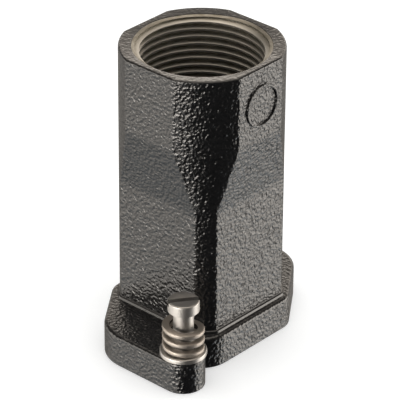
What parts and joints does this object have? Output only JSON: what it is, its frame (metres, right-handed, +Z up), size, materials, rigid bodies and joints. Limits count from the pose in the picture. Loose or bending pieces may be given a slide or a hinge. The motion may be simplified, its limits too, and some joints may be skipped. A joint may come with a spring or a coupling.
{
  "type": "connector hood",
  "caption": "Die-cast cable connector hood with a straight threaded entry, a square hollow for the contact insert, and a flange with captive sprung locking screws.",
  "frame": {"origin": "on the flat mating face, on the axis of the tower and the cable entry", "axes": "+Z up along the cable entry, +X and +Y across the tower's flats, the front ear on the -Y side with its screw towards +X"},
  "size_m": [0.034, 0.0462, 0.0598],
  "materials": {
    "coat": "glossy black hammertone powder coat on die-cast aluminium",
    "steel": "bare turned stainless steel"
  },
  "bodies": {
    "hood": {"hood_casting": "coat", "front_spring": "steel", "front_washer": "steel", "rear_spring": "steel", "rear_washer": "steel"},
    "front_locking_screw": {"front_screw": "steel"},
    "rear_locking_screw": {"rear_screw": "steel"}
  },
  "joints": [
    {"name": "front_screw_slide", "type": "slide", "parent": "hood", "child": "front_locking_screw", "axis": [0, 0, 1], "range_m": [-0.0029, 0.0007]},
    {"name": "rear_screw_slide", "type": "slide", "parent": "hood", "child": "rear_locking_screw", "axis": [0, 0, 1], "range_m": [-0.0029, 0.0007]}
  ]
}
